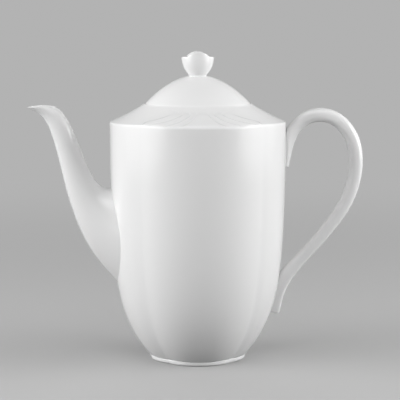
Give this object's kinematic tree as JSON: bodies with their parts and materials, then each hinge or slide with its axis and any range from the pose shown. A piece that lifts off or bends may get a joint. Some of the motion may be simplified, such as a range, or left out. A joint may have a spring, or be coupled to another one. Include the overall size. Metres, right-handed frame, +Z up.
{
  "type": "coffee pot",
  "caption": "Tall lobed porcelain coffee pot with a sloping fan-carved shoulder, a swan-neck spout, a loop handle and a domed lift-off lid with a petal knob.",
  "frame": {"origin": "on the pot's axis at the table, under the foot ring", "axes": "+Z up, +X towards the handle, -X towards the spout, -Y and +Y towards the two fan-carved sides"},
  "size_m": [0.229, 0.1202, 0.2108],
  "materials": {
    "white_glaze": "clear gloss glaze over white porcelain"
  },
  "bodies": {
    "pot": {"pot_body": "white_glaze", "foot_ring": "white_glaze", "spout": "white_glaze", "handle": "white_glaze"},
    "lid": {"lid": "white_glaze", "lid_collar": "white_glaze", "knob": "white_glaze"}
  },
  "joints": [
    {"name": "lid_lift", "type": "slide", "parent": "pot", "child": "lid", "axis": [0, 0, 1], "range_m": [0, 0.06]}
  ]
}
